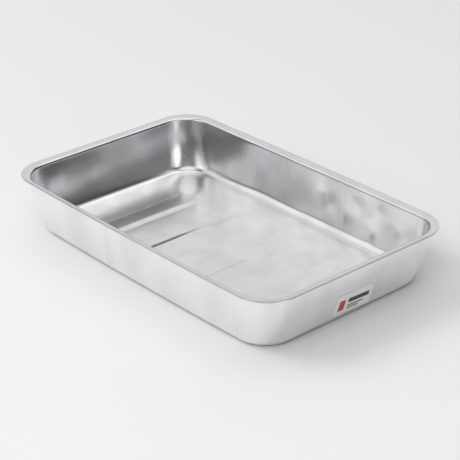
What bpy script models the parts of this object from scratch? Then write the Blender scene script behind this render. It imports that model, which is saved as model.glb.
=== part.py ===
"""A shallow tray pressed from one aluminium sheet, with an adhesive label on one end wall.

Metres, +Z up. The origin is the centre of the underside, on the surface the tray stands on.
+X runs along the tray towards the labelled end, and +Y across it.
"""
from math import atan, cos, pi, radians, sin

import bmesh
import bpy

# Sheet and lip
SHEET = 0.001              # thickness of the aluminium
LIP_LENGTH = 0.330         # over the lip, end to end
LIP_WIDTH = 0.2025         # over the lip, beside the corners
LIP_CORNER = 0.030         # plan radius of the lip's outer corners
LIP_RISE = 0.0008          # how far the lip climbs from its bend to its edge
LIP_BEND = 0.0025          # radius of the bend between wall and lip, on the inside face
HEIGHT = 0.0502            # underside of the floor to the top of the lip
BOW = 0.0013               # outward bow of the long sides at their middle

# Inside face of the walls: half sizes and corner radius at the top, and the draft down to the foot
WALL_TOP_X = 0.1574
WALL_TOP_Y = 0.0947
WALL_TOP_CORNER = 0.0268
DRAFT_X = 0.0075
DRAFT_Y = 0.0046
CORNER_GROWTH = 0.0010     # the corner radius is a little larger at the foot than at the top
WALL_CURVE = 2.1           # how sharply the draft gathers towards the foot, 1 being a straight wall
WALL_FOOT_Z = 0.0080       # height at which the full draft is reached
FLOOR_FILLET = 0.0090      # radius between wall and floor, on the inside face

# Raised ribs across the floor: the place along X and the width of each, and what they share
RIBS = ((-0.098, 0.027), (-0.035, 0.024), (0.034, 0.022), (0.098, 0.027))
RIB_LENGTH = 0.116
RIB_HEIGHT = 0.0010
RIB_SLOPE = 0.0055         # width of the sloping side, in plan

# Label
LABEL_WIDTH = 0.040
LABEL_HEIGHT = 0.020
LABEL_SHEET = 0.0002
LABEL_CENTRE_Z = 0.0165
LABEL_TILT = radians(-2.8)
LABEL_GAP = 0.0003         # clearance between the label and the wall behind it

# Mesh resolution
CORNER_STEPS = 8
LONG_STEPS = 8
SHORT_STEPS = 4
WALL_STEPS = 6
BEND_STEPS = 4
FILLET_STEPS = 5

WALL_TOP_Z = HEIGHT - LIP_RISE - LIP_BEND


def wall_fall(z):
    """Share of the wall's draft used up at height z: none at the top, all of it at the foot."""
    return ((WALL_TOP_Z - z) / (WALL_TOP_Z - WALL_FOOT_Z)) ** WALL_CURVE


def wall_section(z):
    """Half length, half width and corner radius of the wall's inside face at height z."""
    fall = wall_fall(z)
    return (WALL_TOP_X - DRAFT_X * fall, WALL_TOP_Y - DRAFT_Y * fall, WALL_TOP_CORNER + CORNER_GROWTH * fall)


def wall_lean(draft, z):
    """Angle from the vertical of a wall with this draft at height z."""
    depth = WALL_TOP_Z - WALL_FOOT_Z
    return atan(WALL_CURVE * draft / depth * ((WALL_TOP_Z - z) / depth) ** (WALL_CURVE - 1))


def corner_angles():
    """Angles at which one quarter-round corner has its points."""
    return [step / CORNER_STEPS * pi / 2 for step in range(CORNER_STEPS)]


def outline(half_x, half_y, corner):
    """Points of one closed plan outline, anticlockwise: round corners, and long sides that bow out."""
    run_x = half_x - corner
    run_y = half_y - corner
    points = []
    for step in range(LONG_STEPS):
        x = run_x * (2 * step / LONG_STEPS - 1)
        points.append((x, -half_y - BOW * (1 - (x / run_x) ** 2)))
    points += [(run_x + corner * sin(a), -run_y - corner * cos(a)) for a in corner_angles()]
    for step in range(SHORT_STEPS):
        points.append((half_x, run_y * (2 * step / SHORT_STEPS - 1)))
    points += [(run_x + corner * cos(a), run_y + corner * sin(a)) for a in corner_angles()]
    return points + [(-x, -y) for x, y in points]


def lip_stations():
    """Sections from the lip's edge inward and down round the bend: half sizes, corner radius, height."""
    growth = (LIP_CORNER - WALL_TOP_CORNER) / (LIP_LENGTH / 2 - WALL_TOP_X)
    stations = [(LIP_LENGTH / 2, LIP_WIDTH / 2, LIP_CORNER, HEIGHT)]
    for step in range(BEND_STEPS):
        angle = step / BEND_STEPS * pi / 2
        inset = LIP_BEND * (1 - sin(angle))
        height = WALL_TOP_Z + LIP_BEND * cos(angle)
        corner = WALL_TOP_CORNER + growth * inset
        stations.append((WALL_TOP_X + inset, WALL_TOP_Y + inset, corner, height))
    return stations


def wall_stations():
    """Sections down the wall, then round the fillet to the edge of the flat floor."""
    lean = wall_lean(DRAFT_X, WALL_FOOT_Z)
    wall_end = SHEET + FLOOR_FILLET * (1 - sin(lean))
    stations = []
    for step in range(WALL_STEPS + 1):
        z = WALL_TOP_Z + (wall_end - WALL_TOP_Z) * step / WALL_STEPS
        stations.append((*wall_section(z), z))
    half_x, half_y, corner, _ = stations[-1]
    for step in range(1, FILLET_STEPS + 1):
        angle = lean + (pi / 2 - lean) * step / FILLET_STEPS
        inset = FLOOR_FILLET * (cos(lean) - cos(angle))
        z = SHEET + FLOOR_FILLET * (1 - sin(angle))
        stations.append((half_x - inset, half_y - inset, corner - inset, z))
    return stations


def make_material(name, colour, roughness, metallic):
    material = bpy.data.materials.new(name)
    material.use_nodes = True
    shader = material.node_tree.nodes["Principled BSDF"]
    shader.inputs["Base Color"].default_value = (*colour, 1.0)
    shader.inputs["Roughness"].default_value = roughness
    shader.inputs["Metallic"].default_value = metallic
    return material


def make_object(name, bm, collection, material=None):
    mesh = bpy.data.meshes.new(name)
    bm.to_mesh(mesh)
    bm.free()
    obj = bpy.data.objects.new(name, mesh)
    collection.objects.link(obj)
    if material:
        mesh.materials.append(material)
    return obj


def make_rib(name, x, width, foot_z, collection):
    """A round-ended ridge with sloping sides, whose foot lies at foot_z and which is sunk half a sheet."""
    bm = bmesh.new()
    bmesh.ops.create_circle(bm, cap_ends=True, segments=26, radius=width / 2)
    for vert in bm.verts:
        vert.co.y += (RIB_LENGTH - width) / 2 * (1 if vert.co.y > 0 else -1)
    bmesh.ops.translate(bm, verts=bm.verts, vec=(x, 0, foot_z - SHEET / 2))
    raised = bmesh.ops.extrude_face_region(bm, geom=bm.faces[:])["geom"]
    top_verts = [item for item in raised if isinstance(item, bmesh.types.BMVert)]
    top_face = [item for item in raised if isinstance(item, bmesh.types.BMFace)]
    bmesh.ops.translate(bm, verts=top_verts, vec=(0, 0, SHEET / 2))
    bmesh.ops.recalc_face_normals(bm, faces=bm.faces)
    bmesh.ops.inset_region(bm, faces=top_face, thickness=RIB_SLOPE, depth=RIB_HEIGHT, use_even_offset=True)
    rib = make_object(name, bm, collection)
    rib.hide_render = True
    rib.display_type = "WIRE"
    return rib


def add_boolean(obj, operation, tool):
    modifier = obj.modifiers.new(f"{operation.title()} {tool.name}", "BOOLEAN")
    modifier.operation = operation
    modifier.solver = "EXACT"
    modifier.object = tool


def make_tray(parts, cutters):
    """The pressed pan: sections bridged into one open skin, thickened outward, then ribbed."""
    bm = bmesh.new()
    previous = None
    for half_x, half_y, corner, z in lip_stations() + wall_stations():
        verts = [bm.verts.new((x, y, z)) for x, y in outline(half_x, half_y, corner)]
        edges = [bm.edges.new((verts[i - 1], verts[i])) for i in range(len(verts))]
        if previous:
            bmesh.ops.bridge_loops(bm, edges=previous + edges)
        previous = edges
    bmesh.ops.contextual_create(bm, geom=previous)
    bmesh.ops.recalc_face_normals(bm, faces=bm.faces)
    floor = max(bm.faces, key=lambda face: face.calc_area())
    if floor.normal.z < 0:
        bmesh.ops.reverse_faces(bm, faces=bm.faces)
    aluminium = make_material("tray_aluminium", (0.80, 0.81, 0.82), 0.30, 1.0)
    tray = make_object("pressed_tray", bm, parts, aluminium)

    solidify = tray.modifiers.new("Sheet thickness", "SOLIDIFY")
    solidify.thickness = SHEET
    solidify.offset = -1
    solidify.use_even_offset = True
    for number, (x, width) in enumerate(RIBS, start=1):
        add_boolean(tray, "UNION", make_rib(f"rib_raised_{number}", x, width, SHEET, cutters))
        add_boolean(tray, "DIFFERENCE", make_rib(f"rib_hollow_{number}", x, width, 0, cutters))
    tray.data.shade_smooth()
    tray.data.set_sharp_from_angle(angle=radians(30))
    return tray


def make_label(parts):
    """A thin patch that follows the curve of the end wall, just clear of it."""
    bm = bmesh.new()
    bmesh.ops.create_grid(bm, x_segments=2, y_segments=8, size=0.5)
    lean = wall_lean(DRAFT_X, LABEL_CENTRE_Z)
    for vert in bm.verts:
        across = vert.co.x * LABEL_WIDTH
        up = vert.co.y * LABEL_HEIGHT
        y = across * cos(LABEL_TILT) - up * sin(LABEL_TILT)
        z = LABEL_CENTRE_Z + (across * sin(LABEL_TILT) + up * cos(LABEL_TILT)) * cos(lean)
        local_lean = wall_lean(DRAFT_X, z)
        stand_off = SHEET + LABEL_GAP
        vert.co = (wall_section(z)[0] + stand_off * cos(local_lean), y, z - stand_off * sin(local_lean))
    vinyl = make_material("label_vinyl", (0.88, 0.88, 0.87), 0.45, 0.0)
    bmesh.ops.recalc_face_normals(bm, faces=bm.faces)
    if next(iter(bm.faces)).normal.x < 0:
        bmesh.ops.reverse_faces(bm, faces=bm.faces)
    label = make_object("adhesive_label", bm, parts, vinyl)
    solidify = label.modifiers.new("Label thickness", "SOLIDIFY")
    solidify.thickness = LABEL_SHEET
    solidify.offset = 1
    return label


def main():
    for obj in list(bpy.data.objects):
        bpy.data.objects.remove(obj, do_unlink=True)
    parts = bpy.data.collections.new("Shallow tray")
    cutters = bpy.data.collections.new("Cutters")
    bpy.context.scene.collection.children.link(parts)
    bpy.context.scene.collection.children.link(cutters)
    make_tray(parts, cutters)
    make_label(parts)


main()
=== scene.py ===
"""A shallow tray pressed from one aluminium sheet, with a paper label on one end, in a pale studio."""

from math import atan, cos, hypot, pi, radians, sin

import bmesh
import bpy
from mathutils import Matrix, Vector, noise


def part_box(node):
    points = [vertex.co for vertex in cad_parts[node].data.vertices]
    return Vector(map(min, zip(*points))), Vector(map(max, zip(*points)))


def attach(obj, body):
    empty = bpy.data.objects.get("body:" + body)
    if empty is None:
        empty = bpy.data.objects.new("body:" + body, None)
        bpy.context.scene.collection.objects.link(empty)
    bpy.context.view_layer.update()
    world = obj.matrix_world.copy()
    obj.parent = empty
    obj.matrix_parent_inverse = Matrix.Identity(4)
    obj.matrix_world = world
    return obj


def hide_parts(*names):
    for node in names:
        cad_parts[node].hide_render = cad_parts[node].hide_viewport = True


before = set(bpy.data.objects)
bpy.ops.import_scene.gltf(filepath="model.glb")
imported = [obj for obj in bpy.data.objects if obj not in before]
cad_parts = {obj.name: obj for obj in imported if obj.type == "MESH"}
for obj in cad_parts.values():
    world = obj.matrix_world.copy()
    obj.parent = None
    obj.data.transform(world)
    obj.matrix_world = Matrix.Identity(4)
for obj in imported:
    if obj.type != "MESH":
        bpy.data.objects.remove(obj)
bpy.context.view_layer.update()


# ---------------------------------------------------------------------------
# Pressed tray
# One blank of soft aluminium sheet drawn into a pan in a press: flat ribbed floor, walls that bow
# as they rise, round corners, and a lip flared out and cut off square. Nothing is joined to it.
# ---------------------------------------------------------------------------
tray_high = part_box("pressed_tray")[1]
SHEET = 0.001
HEIGHT = tray_high.z
LIP_HALF_X = tray_high.x - 0.0004        # the cut edge stands out a little further than the skin
LIP_HALF_Y = 0.10105
LIP_CORNER = 0.030
LIP_RISE = 0.0008
LIP_CURL = 2.2                           # how sharply that rise gathers at the cut edge
LIP_BEND = 0.0025                        # radius between wall and lip
SIDE_BOW = 0.0013                        # how far the long sides swell at their middle
SIDE_PINCH = 0.0010                      # how far the +Y wall has been pushed back in, below its lip
WALL_TOP = (0.1574, 0.0947, 0.0268)      # half length, half width, corner radius of the inside face
WALL_DRAFT = (0.0075, 0.0046, -0.0010)   # how much each shrinks down to the foot
WALL_CURVE = 2.1                         # how sharply the draft gathers towards the foot
WALL_TOP_Z = HEIGHT - LIP_RISE - LIP_BEND
WALL_FOOT_Z = 0.008
FLOOR_FILLET = 0.0090
EDGE_RADIUS = 0.00022                    # the cut edge of the lip, where the burr has been rubbed off

GRID_X, GRID_Y = 240, 84
FILLET_RINGS, WALL_RINGS, BEND_RINGS, LIP_RINGS = 9, 20, 7, 5


def wall_section(z):
    """Half length, half width and corner radius of the wall's inside face at height z."""
    fall = ((WALL_TOP_Z - z) / (WALL_TOP_Z - WALL_FOOT_Z)) ** WALL_CURVE
    return [top - draft * fall for top, draft in zip(WALL_TOP, WALL_DRAFT)]


def wall_lean(z):
    """Angle of the end wall from the vertical at height z."""
    depth = WALL_TOP_Z - WALL_FOOT_Z
    return atan(WALL_CURVE * WALL_DRAFT[0] / depth * ((WALL_TOP_Z - z) / depth) ** (WALL_CURVE - 1))


def rounded_outline(s, t, half_x, half_y, corner, pinch=SIDE_PINCH):
    """Where the point (s, t) on the edge of a two by two square lands on a round-cornered outline."""
    run_x, run_y = half_x - corner, half_y - corner
    if abs(t) >= abs(s):
        along = abs(s) * (run_x + corner * pi / 4)
        turn = max(0.0, along - run_x) / corner
        x, y = min(along, run_x) + corner * sin(turn), run_y + corner * cos(turn)
    else:
        along = abs(t) * (run_y + corner * pi / 4)
        turn = max(0.0, along - run_y) / corner
        x, y = run_x + corner * cos(turn), min(along, run_y) + corner * sin(turn)
    bow = SIDE_BOW - pinch if t > 0 else SIDE_BOW
    y += bow * max(0.0, 1 - (x / run_x) ** 2) * abs(t) ** 4
    return (x if s > 0 else -x), (y if t > 0 else -y)


def tray_rings():
    """Sections from the edge of the floor outward: fillet, wall, bend and flared lip."""
    foot_lean = wall_lean(WALL_FOOT_Z)
    wall_start = SHEET + FLOOR_FILLET * (1 - sin(foot_lean))
    foot_x, foot_y, foot_corner = wall_section(wall_start)
    rings = []
    for step in range(FILLET_RINGS):
        angle = pi / 2 + (foot_lean - pi / 2) * step / FILLET_RINGS
        inset = FLOOR_FILLET * (cos(foot_lean) - cos(angle))
        z = SHEET + FLOOR_FILLET * (1 - sin(angle))
        rings.append((foot_x - inset, foot_y - inset, foot_corner - inset, SIDE_PINCH, z))
    for step in range(WALL_RINGS):
        z = wall_start + (WALL_TOP_Z - wall_start) * step / WALL_RINGS
        rings.append((*wall_section(z), SIDE_PINCH, z))
    top_x, top_y, top_corner = WALL_TOP
    growth = (LIP_CORNER - top_corner) / (LIP_HALF_X - top_x)
    for step in range(BEND_RINGS + 1):
        angle = pi / 2 * step / BEND_RINGS
        out = LIP_BEND * (1 - cos(angle))
        rings.append((top_x + out, top_y + out, top_corner + growth * out, SIDE_PINCH,
                      WALL_TOP_Z + LIP_BEND * sin(angle)))
    start_x, start_y, start_corner, _, start_z = rings[-1]
    for step in range(1, LIP_RINGS + 1):
        share = step / LIP_RINGS
        rings.append((start_x + (LIP_HALF_X - start_x) * share, start_y + (LIP_HALF_Y - start_y) * share,
                      start_corner + (LIP_CORNER - start_corner) * share, SIDE_PINCH * (1 - share),
                      start_z + LIP_RISE * share ** LIP_CURL))
    return rings


# Each rib: foot and width of its left slope, foot and width of its right slope, and how much the left
# slope spreads towards the rib's +Y end. The press leaves some sides soft and others crisp.
RIBS = (
    (-0.1120, 0.0090, -0.0845, 0.0060, 0.0),
    (-0.0475, 0.0062, -0.0230, 0.0075, 1.2),
    (0.0230, 0.0080, 0.0440, 0.0110, 0.0),
    (0.0840, 0.0080, 0.1120, 0.0090, 0.0),
)
RIB_HEIGHT = 0.0009
RIB_HALF_RUN = 0.046                     # straight part, from the middle line to where the end rounds off
SPREAD_START, SPREAD_RUN = 0.008, 0.018  # where along y a left slope begins to spread, and over what length

# A fine crease left beside the third rib: where it starts, where it is highest, where it dies away
CREASE = (0.0418, 0.0444, 0.0540)
CREASE_HEIGHT = 0.00032
CREASE_HALF_RUN = 0.050
CREASE_FADE = 0.004


def smooth(share):
    """0 below 0, 1 above 1, and a smooth rise between them."""
    share = min(1.0, max(0.0, share))
    return share * share * (3 - 2 * share)


def rib_rise(x, y):
    """Height of the pressed ribs above the flat floor at (x, y)."""
    rise = 0.0
    for left_foot, left_slope, right_foot, right_slope, spread in RIBS:
        centre, half_width = (left_foot + right_foot) / 2, (right_foot - left_foot) / 2
        away = max(1e-9, hypot(x - centre, max(0.0, abs(y) - RIB_HALF_RUN)))
        left_slope *= 1 + spread * smooth((y - SPREAD_START) / SPREAD_RUN)
        slope = left_slope + (right_slope - left_slope) * (0.5 + 0.5 * (x - centre) / away)
        rise = max(rise, RIB_HEIGHT * smooth((half_width - away) / slope))
    start, crest, end = CREASE
    crease = smooth((x - start) / (crest - start)) * smooth((end - x) / (end - crest))
    return rise + CREASE_HEIGHT * crease * smooth((CREASE_HALF_RUN - abs(y)) / CREASE_FADE)


# Knocks from handling: centre, reach and depth, in metres. A positive depth pushes the sheet outward.
KNOCKS = (
    ((0.020, 0.0945, 0.030), 0.0085, 0.00110),
    ((0.036, 0.0945, 0.024), 0.0065, -0.00090),
    ((0.050, 0.0940, 0.022), 0.0080, 0.00130),
    ((0.064, 0.0945, 0.034), 0.0070, -0.00090),
    ((0.080, 0.0935, 0.016), 0.0075, 0.00120),
    ((0.090, 0.0945, 0.036), 0.0060, -0.00090),
    ((0.106, 0.0940, 0.028), 0.0090, 0.00120),
    ((0.124, 0.0945, 0.022), 0.0090, -0.00100),
    ((-0.012, 0.0940, 0.018), 0.0140, -0.00050),
    ((-0.050, 0.0940, 0.016), 0.0140, 0.00060),
    ((-0.088, 0.0940, 0.026), 0.0180, -0.00060),
    ((-0.1560, -0.060, 0.034), 0.0100, 0.00035),
    ((-0.1560, -0.022, 0.026), 0.0120, 0.00035),
    ((-0.1565, 0.028, 0.036), 0.0120, -0.00035),
    ((0.057, -0.0945, 0.028), 0.0120, -0.00050),
    ((-0.012, -0.0940, 0.026), 0.0150, 0.00040),
    ((0.118, -0.0930, 0.012), 0.0100, 0.00030),
    ((0.1560, -0.066, 0.016), 0.0045, 0.00030),
    ((0.1570, 0.029, 0.033), 0.0040, -0.00030),
)

WAVE_DEPTH, WAVES_PER_METRE = 0.00020, 15
MARK_DEPTH, MARKS_ACROSS, MARKS_UP = 0.00016, 38, 9


def sheet_drift(point):
    """How far the drawn sheet wanders from its true face: slow waves, upright drawing marks and knocks."""
    upright = Vector((point.x * MARKS_ACROSS, point.y * MARKS_ACROSS, point.z * MARKS_UP))
    on_wall = min(1.0, max(0.0, (point.z - 0.004) / 0.010))
    drift = WAVE_DEPTH * noise.noise(point * WAVES_PER_METRE) + on_wall * MARK_DEPTH * noise.noise(upright)
    for centre, reach, depth in KNOCKS:
        distance = (point - Vector(centre)).length / reach
        if distance < 3:
            drift += depth * 2.718 ** (-distance * distance)
    return drift


def make_tray():
    """The inside skin: a square grid laid out as the floor, its edge drawn outward ring by ring."""
    bm = bmesh.new()
    bmesh.ops.create_grid(bm, x_segments=GRID_X, y_segments=GRID_Y, size=1.0)
    place_s = bm.verts.layers.float.new("place_s")
    place_t = bm.verts.layers.float.new("place_t")
    rings = tray_rings()
    floor_x, floor_y, floor_corner, _, floor_z = rings[0]
    for vert in bm.verts:
        s, t = vert.co.x, vert.co.y
        vert[place_s], vert[place_t] = s, t
        reach = max(abs(s), abs(t), 1e-6)
        x, y = rounded_outline(s / reach, t / reach, floor_x, floor_y, floor_corner)
        blend = reach ** 7
        x = x * reach * blend + s * floor_x * (1 - blend)
        y = y * reach * blend + t * floor_y * (1 - blend)
        vert.co = (x, y, floor_z + rib_rise(x, y))
    rim = [edge for edge in bm.edges if edge.is_boundary]
    for half_x, half_y, corner, pinch, z in rings[1:]:
        made = bmesh.ops.extrude_edge_only(bm, edges=rim)["geom"]
        for vert in made:
            if isinstance(vert, bmesh.types.BMVert):
                s, t = vert[place_s], vert[place_t]
                reach = max(abs(s), abs(t))
                vert.co = (*rounded_outline(s / reach, t / reach, half_x, half_y, corner, pinch), z)
        rim = [edge for edge in made if isinstance(edge, bmesh.types.BMEdge)]
    bmesh.ops.recalc_face_normals(bm, faces=bm.faces)
    if min(bm.faces, key=lambda face: face.calc_center_median().length).normal.z < 0:
        bmesh.ops.reverse_faces(bm, faces=bm.faces)
    bm.normal_update()
    for vert in bm.verts:
        lip_fade = min(1.0, (HEIGHT - vert.co.z) / 0.006)
        floor_fade = min(1.0, 0.35 + vert.co.z / 0.012)
        vert.co -= vert.normal * sheet_drift(vert.co) * (lip_fade * floor_fade)
    return bm


def thicken(bm, thickness, edge_radius):
    """Gives the skin its thickness on the underside, and rounds the cut edge of the lip."""
    bmesh.ops.solidify(bm, geom=bm.faces[:], thickness=thickness)
    sharp = radians(60)
    cut_edge = [edge for edge in bm.edges if len(edge.link_faces) == 2 and edge.calc_face_angle(0) > sharp]
    bmesh.ops.bevel(bm, geom=cut_edge, offset=edge_radius, offset_type="OFFSET", segments=2,
                    profile=0.5, affect="EDGES", material=-1, clamp_overlap=True)


def finish_piece(name, bm, material):
    """Turns a bmesh into a smooth-shaded piece at the origin that rides on the one body."""
    mesh = bpy.data.meshes.new(name)
    bm.to_mesh(mesh)
    bm.free()
    for layer in ("place_s", "place_t"):
        if layer in mesh.attributes:
            mesh.attributes.remove(mesh.attributes[layer])
    mesh.shade_smooth()
    mesh.materials.append(material)
    piece = bpy.data.objects.new(name, mesh)
    bpy.context.scene.collection.objects.link(piece)
    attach(piece, "root")
    return piece


class Value:
    """A node socket that can be used in sums, so that shader maths reads as ordinary expressions."""

    def __init__(self, tree, socket):
        self.tree = tree
        self.socket = socket

    def math(self, operation, *values, clamp=False):
        node = self.tree.nodes.new("ShaderNodeMath")
        node.operation = operation
        node.use_clamp = clamp
        for slot, value in zip(node.inputs, values):
            if isinstance(value, Value):
                self.tree.links.new(value.socket, slot)
            else:
                slot.default_value = value
        return Value(self.tree, node.outputs[0])

    def __add__(self, other): return self.math("ADD", self, other)
    def __radd__(self, other): return self.math("ADD", other, self)
    def __sub__(self, other): return self.math("SUBTRACT", self, other)
    def __rsub__(self, other): return self.math("SUBTRACT", other, self)
    def __mul__(self, other): return self.math("MULTIPLY", self, other)
    def __rmul__(self, other): return self.math("MULTIPLY", other, self)
    def __truediv__(self, other): return self.math("DIVIDE", self, other)
    def at_least(self, other): return self.math("MAXIMUM", self, other)
    def clamped(self): return self.math("ADD", self, 0.0, clamp=True)

    def ramp(self, low, high):
        """0 below low, 1 above high, and a smooth rise between them (or a fall when low is above high)."""
        share = ((self - low) / (high - low)).clamped()
        return share * share * (3 - 2 * share)


class Shader:
    """A node tree with one way to add any node: its type, its settings, then its inputs."""

    def __init__(self, tree):
        self.tree = tree
        tree.nodes.clear()

    def node(self, kind, settings=None, **inputs):
        node = self.tree.nodes.new(kind)
        for key, value in (settings or {}).items():
            setattr(node, key, value)
        for key, value in inputs.items():
            slot = node.inputs[int(key[1:])] if key[0] == "_" else node.inputs[key.replace("_", " ")]
            if isinstance(value, Value):
                self.tree.links.new(value.socket, slot)
            else:
                slot.default_value = value
        return node

    def out(self, node, name):
        return Value(self.tree, node.outputs[name])

    def facing(self, vector, direction):
        made = self.node("ShaderNodeVectorMath", {"operation": "DOT_PRODUCT"}, _0=vector, _1=direction)
        return Value(self.tree, made.outputs["Value"])

    def axes(self, vector):
        split = self.node("ShaderNodeSeparateXYZ", Vector=vector)
        return [self.out(split, axis) for axis in "XYZ"]

    def noise(self, vector, scale, detail=3.0, roughness=0.5):
        made = self.node("ShaderNodeTexNoise", Vector=vector, Scale=scale, Detail=detail, Roughness=roughness)
        return self.out(made, "Fac")

    def stretched(self, vector, scale, turn=0.0):
        made = self.node("ShaderNodeMapping", Vector=vector, Scale=scale, Rotation=(0, 0, turn))
        return self.out(made, "Vector")

    def mix_colour(self, factor, first, second):
        made = self.node("ShaderNodeMix", {"data_type": "RGBA"}, _0=factor, _6=first, _7=second)
        return Value(self.tree, made.outputs[2])


def aluminium():
    """Bright rolled sheet: rolling lines, upright drawing streaks, haze, hairline scratches, a few pits."""
    material = bpy.data.materials.new("aluminium_sheet")
    material.use_nodes = True
    s = Shader(material.node_tree)
    place = s.out(s.node("ShaderNodeTexCoord"), "Object")
    height = s.axes(place)[2]

    haze = s.noise(place, 22.0, 4.0, 0.55)
    rolling = s.noise(s.stretched(place, (12, 900, 900)), 1.0, 2.0)
    drawn = s.noise(s.stretched(place, (160, 160, 9)), 1.0, 3.0)
    hairs = 0.0
    for turn, reach in ((0.4, 700.0), (-0.9, 620.0), (1.9, 800.0)):
        fine = s.noise(s.stretched(place, (reach, 6, 40), turn), 1.0, 1.0)
        hairs = s.noise(place, 9.0 + turn).ramp(0.50, 0.62) * fine.ramp(0.66, 0.74) + hairs
    pits = s.out(s.node("ShaderNodeTexVoronoi", Vector=place, Scale=55.0), "Distance").ramp(0.055, 0.02)
    # The top 1.6 mm of the lip, up to the cut edge, is coloured darker and made a little smoother
    lip = height.ramp(HEIGHT - 0.0016, HEIGHT - 0.0004)
    streaks = s.noise(s.stretched(place, (34, 34, 6)), 1.0, 2.0).ramp(0.38, 0.66)

    tint = s.mix_colour((haze - 0.35).clamped() * 0.9, (0.91, 0.915, 0.925, 1), (0.84, 0.845, 0.85, 1))
    tint = s.mix_colour(streaks * 0.45, tint, (0.74, 0.745, 0.755, 1))
    tint = s.mix_colour(lip * 0.5, tint, (0.76, 0.765, 0.775, 1))
    tint = s.mix_colour((hairs * 0.06 + pits * 0.25).clamped(), tint, (0.42, 0.42, 0.42, 1))
    rough = 0.165 + haze * 0.08 + streaks * 0.03 + rolling * 0.02 + hairs * 0.04 + pits * 0.2 - lip * 0.03
    relief = drawn * 0.30 - pits
    bump = s.node("ShaderNodeBump", Strength=0.12, Distance=0.00004, Height=relief)
    surface = s.node("ShaderNodeBsdfPrincipled", Base_Color=tint, Metallic=1.0, Roughness=rough,
                     Normal=s.out(bump, "Normal"))
    s.node("ShaderNodeOutputMaterial", Surface=s.out(surface, "BSDF"))
    return material


skin = make_tray()
thicken(skin, SHEET, EDGE_RADIUS)
for vert in skin.verts:
    vert.co.z = max(0.0, vert.co.z)      # the underside stays flat on the table
tray = finish_piece("tray_skin", skin, aluminium())
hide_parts("pressed_tray")


# ---------------------------------------------------------------------------
# Adhesive label
# A small white coated-paper label printed in two plain colours, cut square and pressed by hand on to
# the end wall, so it sits slightly askew and follows the wall's curve.
# ---------------------------------------------------------------------------
LABEL_WIDTH, LABEL_HEIGHT, LABEL_SHEET = 0.0400, 0.0200, 0.00018
LABEL_CENTRE_Z = 0.0165
LABEL_TILT = radians(-2.8)
LABEL_GAP = 0.00008


def make_label():
    bm = bmesh.new()
    bmesh.ops.create_grid(bm, x_segments=32, y_segments=16, size=0.5, calc_uvs=True)
    uv_layer = bm.loops.layers.uv.verify()
    for face in bm.faces:
        for loop in face.loops:
            loop[uv_layer].uv = (loop.vert.co.x + 0.5, loop.vert.co.y + 0.5)
    shrink = cos(wall_lean(LABEL_CENTRE_Z))
    for vert in bm.verts:
        across, up = vert.co.x * LABEL_WIDTH, vert.co.y * LABEL_HEIGHT
        y = across * cos(LABEL_TILT) - up * sin(LABEL_TILT)
        z = LABEL_CENTRE_Z + (across * sin(LABEL_TILT) + up * cos(LABEL_TILT)) * shrink
        lean = wall_lean(z)
        off = SHEET + LABEL_GAP + LABEL_SHEET
        vert.co = (wall_section(z)[0] + off * cos(lean), y, z - off * sin(lean))
    bmesh.ops.recalc_face_normals(bm, faces=bm.faces)
    if bm.faces[:][0].normal.x < 0:
        bmesh.ops.reverse_faces(bm, faces=bm.faces)
    bmesh.ops.solidify(bm, geom=bm.faces[:], thickness=LABEL_SHEET)
    return bm


def printed_paper():
    """White coated paper: a red block and plain black bars, with a little grain and a soiled edge."""
    material = bpy.data.materials.new("label_paper")
    material.use_nodes = True
    s = Shader(material.node_tree)
    u, v, _ = s.axes(s.out(s.node("ShaderNodeUVMap"), "UV"))

    def block(left, right, bottom, top, soft=0.008):
        return (u.ramp(left - soft, left + soft) * u.ramp(right + soft, right - soft)
                * v.ramp(bottom - soft * 2, bottom + soft * 2) * v.ramp(top + soft * 2, top - soft * 2))

    place = s.out(s.node("ShaderNodeTexCoord"), "Object")
    grain = s.noise(place, 2600.0, 2.0)
    stain = s.noise(place, 120.0, 3.0)
    black = block(0.34, 0.90, 0.50, 0.72) + block(0.34, 0.78, 0.32, 0.39) + block(0.34, 0.66, 0.19, 0.26)
    red = block(0.10, 0.26, 0.19, 0.72)
    paper = s.mix_colour(stain.ramp(0.45, 0.8) * 0.25, (0.88, 0.88, 0.87, 1), (0.78, 0.775, 0.76, 1))
    inked = s.mix_colour(black.clamped() * (0.93 + grain * 0.07), paper, (0.012, 0.012, 0.014, 1))
    inked = s.mix_colour(red.clamped() * (0.93 + grain * 0.07), inked, (0.50, 0.018, 0.022, 1))
    bump = s.node("ShaderNodeBump", Strength=0.15, Distance=0.00004, Height=grain)
    surface = s.node("ShaderNodeBsdfPrincipled", Base_Color=inked, Roughness=0.42 + grain * 0.08,
                     Normal=s.out(bump, "Normal"))
    s.node("ShaderNodeOutputMaterial", Surface=s.out(surface, "BSDF"))
    return material


label = finish_piece("label_skin", make_label(), printed_paper())
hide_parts("adhesive_label")


# ---------------------------------------------------------------------------
# Studio
# A pale matt table top, a big soft light to the left and a weaker one in front. The bright metal
# mirrors the room: pale panels behind, above, to the left and high over the camera, and dark to the right.
# ---------------------------------------------------------------------------
VIEW_HEADING = radians(49.71)            # the way the camera looks, turned from +Y towards -X

# Panels: heading clockwise from straight behind the tray, elevation, full and fading reach, brightness
PANELS = (
    (10, 32, 20, 32, 0.74),
    (62, 62, 14, 24, 1.15),
    (-10, 72, 16, 27, 1.10),
    (180, 58, 16, 34, 0.95),
    (-40, 44, 16, 28, 0.70),
    (-80, 33, 18, 28, 0.93),
    (-126, 26, 14, 28, 1.15),
    (105, 54, 8, 20, 0.50),
    (141, 14, 8, 18, 1.45),
)


def toward(heading, elevation):
    """Unit vector at a heading from the camera's line of sight, and an elevation, in degrees."""
    turn = VIEW_HEADING - radians(heading)
    flat = cos(radians(elevation))
    return (-sin(turn) * flat, cos(turn) * flat, sin(radians(elevation)))


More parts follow.
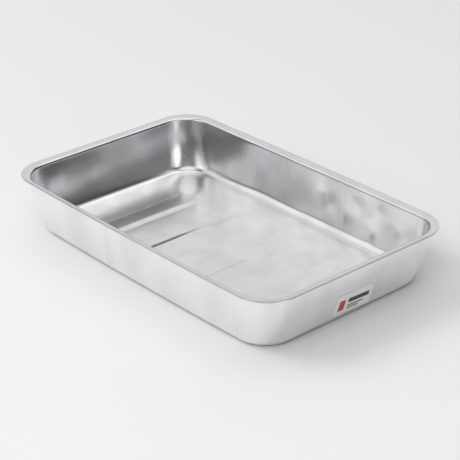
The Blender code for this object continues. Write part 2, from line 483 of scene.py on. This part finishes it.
def make_table():
    bm = bmesh.new()
    bmesh.ops.create_grid(bm, x_segments=1, y_segments=1, size=6.0)
    mesh = bpy.data.meshes.new("table_top")
    bm.to_mesh(mesh)
    bm.free()
    material = bpy.data.materials.new("table_white")
    material.use_nodes = True
    s = Shader(material.node_tree)
    surface = s.node("ShaderNodeBsdfPrincipled", Base_Color=(0.86, 0.86, 0.86, 1), Roughness=0.7)
    s.node("ShaderNodeOutputMaterial", Surface=s.out(surface, "BSDF"))
    mesh.materials.append(material)
    table = bpy.data.objects.new("table_top", mesh)
    bpy.context.scene.collection.objects.link(table)


def make_room():
    """The room as the metal sees it: a dim surround with pale panels standing about it."""
    world = bpy.data.worlds.new("studio")
    world.use_nodes = True
    bpy.context.scene.world = world
    s = Shader(world.node_tree)
    way = s.out(s.node("ShaderNodeTexCoord"), "Generated")
    right = s.facing(way, toward(90, 0))
    brightness = 0.16 - right.ramp(0.2, 0.7) * 0.12
    for heading, elevation, inner, outer, strength in PANELS:
        lobe = s.facing(way, toward(heading, elevation)).ramp(cos(radians(outer)), cos(radians(inner)))
        brightness = brightness.at_least(lobe * strength)
    background = s.node("ShaderNodeBackground", Color=(1, 1, 1, 1), Strength=brightness)
    s.node("ShaderNodeOutputWorld", Surface=s.out(background, "Background"))


def add_softbox(name, place, aim, size, watts):
    """A square light that lights the table and the tray, but that the metal doesn't mirror."""
    light = bpy.data.lights.new(name, "AREA")
    light.shape = "SQUARE"
    light.size = size
    light.energy = watts
    lamp = bpy.data.objects.new(name, light)
    lamp.location = place
    lamp.rotation_euler = (Vector(aim) - Vector(place)).to_track_quat("-Z", "Y").to_euler()
    lamp.visible_glossy = False
    bpy.context.scene.collection.objects.link(lamp)


make_table()
make_room()
# The first light is far off, so that it lights the table evenly. The second is near, so that it fades.
add_softbox("key_light", (-1.65, -1.30, 2.05), (0, 0, 0), 1.4, 28.0)
add_softbox("front_fill", (0.62, -0.86, 1.0), (0.1, -0.1, 0), 0.9, 3.6)


# ---------------------------------------------------------------------------
# Camera
# A long lens from above the labelled corner, tipped by a degree.
# ---------------------------------------------------------------------------
def make_camera():
    azimuth, elevation, roll = radians(49.71), radians(26.76), radians(-1.25)
    target = Vector((0.0494, -0.0342, HEIGHT - 0.0005))
    back = Vector((sin(azimuth) * cos(elevation), -cos(azimuth) * cos(elevation), sin(elevation)))
    level = Vector((cos(azimuth), sin(azimuth), 0))
    upright = level.cross(-back)
    right = level * cos(roll) + upright * sin(roll)
    up = upright * cos(roll) - level * sin(roll)
    lens = bpy.data.cameras.new("camera")
    lens.sensor_width = 36.0
    lens.lens = 125.27
    lens.clip_start = 0.05
    camera = bpy.data.objects.new("camera", lens)
    turned = Matrix((right, up, back)).transposed().to_4x4()
    camera.matrix_world = Matrix.Translation(target + back * 1.2652) @ turned
    bpy.context.scene.collection.objects.link(camera)
    bpy.context.scene.camera = camera


make_camera()
bpy.context.scene.view_settings.view_transform = "Standard"
